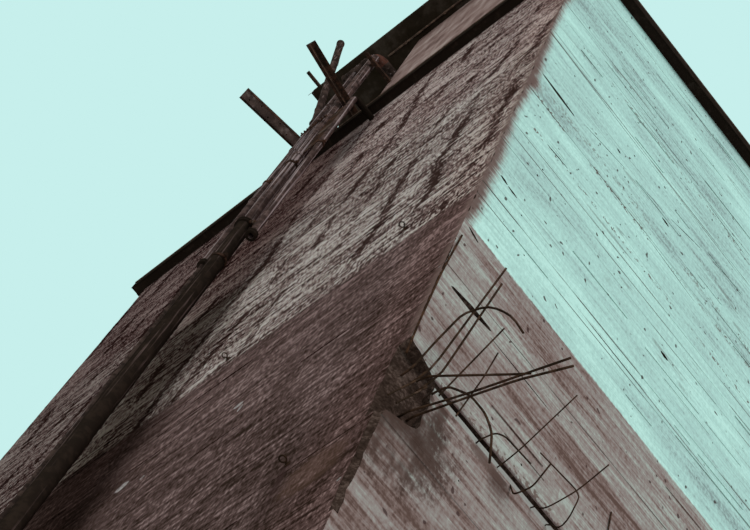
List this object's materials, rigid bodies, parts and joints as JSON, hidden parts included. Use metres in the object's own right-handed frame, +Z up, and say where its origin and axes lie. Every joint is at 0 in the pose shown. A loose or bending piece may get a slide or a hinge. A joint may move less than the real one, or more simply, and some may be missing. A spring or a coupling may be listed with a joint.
{
  "type": "water tower",
  "caption": "Square board-marked concrete water tower with a roof house, riser pipes, steel stubs at roof level and the bent bars of a cut-off slab.",
  "frame": {"origin": "centre of the square footprint, on the ground", "axes": "+Z up, -Y out of the front wall with the pipes, +X out of the right wall with the cut slab bars"},
  "size_m": [9.1241, 9.4152, 27.2503],
  "materials": {
    "lower_concrete": "board-marked concrete, stained dark and purple-brown",
    "upper_concrete": "board-marked concrete, pale grey-green with brown streaks",
    "house_concrete": "rough brown concrete",
    "slab_concrete": "plain weathered concrete",
    "roof_edge_steel": "dark weathered steel",
    "jacket_steel": "dark sheet jacket, streaked",
    "pipe_steel": "weathered pipe, brown with pale streaks",
    "bracket_steel": "rusted rolled steel",
    "bar_steel": "rusted bar"
  },
  "bodies": {
    "root": {"back_roof_edge": "roof_edge_steel", "canopy_arm": "bracket_steel", "channel_stub": "bracket_steel", "corner_rod": "bar_steel", "eye_bolt_1": "bar_steel", "eye_bolt_2": "bar_steel", "eye_bolt_3": "bar_steel", "feed_pipe": "jacket_steel", "front_roof_edge": "roof_edge_steel", "ground_slab": "slab_concrete", "header_pipe": "pipe_steel", "house_back_wall": "house_concrete", "house_front_wall": "house_concrete", "house_left_wall": "house_concrete", "house_right_wall": "house_concrete", "house_roof": "slab_concrete", "jacketed_pipe": "jacket_steel", "left_roof_edge": "roof_edge_steel", "lower_back_wall": "lower_concrete", "lower_front_wall": "lower_concrete", "lower_left_wall": "lower_concrete", "lower_right_wall": "lower_concrete", "overflow_pipe": "pipe_steel", "pipe_bracket_1": "bracket_steel", "pipe_bracket_2": "bracket_steel", "pipe_bracket_3": "bracket_steel", "right_roof_edge": "roof_edge_steel", "riser_a": "pipe_steel", "riser_b": "pipe_steel", "roof_slab": "slab_concrete", "slab_bar_1": "bar_steel", "slab_bar_10": "bar_steel", "slab_bar_2": "bar_steel", "slab_bar_3": "bar_steel", "slab_bar_4": "bar_steel", "slab_bar_5": "bar_steel", "slab_bar_6": "bar_steel", "slab_bar_7": "bar_steel", "slab_bar_8": "bar_steel", "slab_bar_9": "bar_steel", "tee_stub": "bracket_steel", "top_bracket": "bracket_steel", "upper_back_wall": "upper_concrete", "upper_front_wall": "upper_concrete", "upper_left_wall": "upper_concrete", "upper_right_wall": "upper_concrete", "vent_pipe": "pipe_steel"}
  },
  "joints": []
}
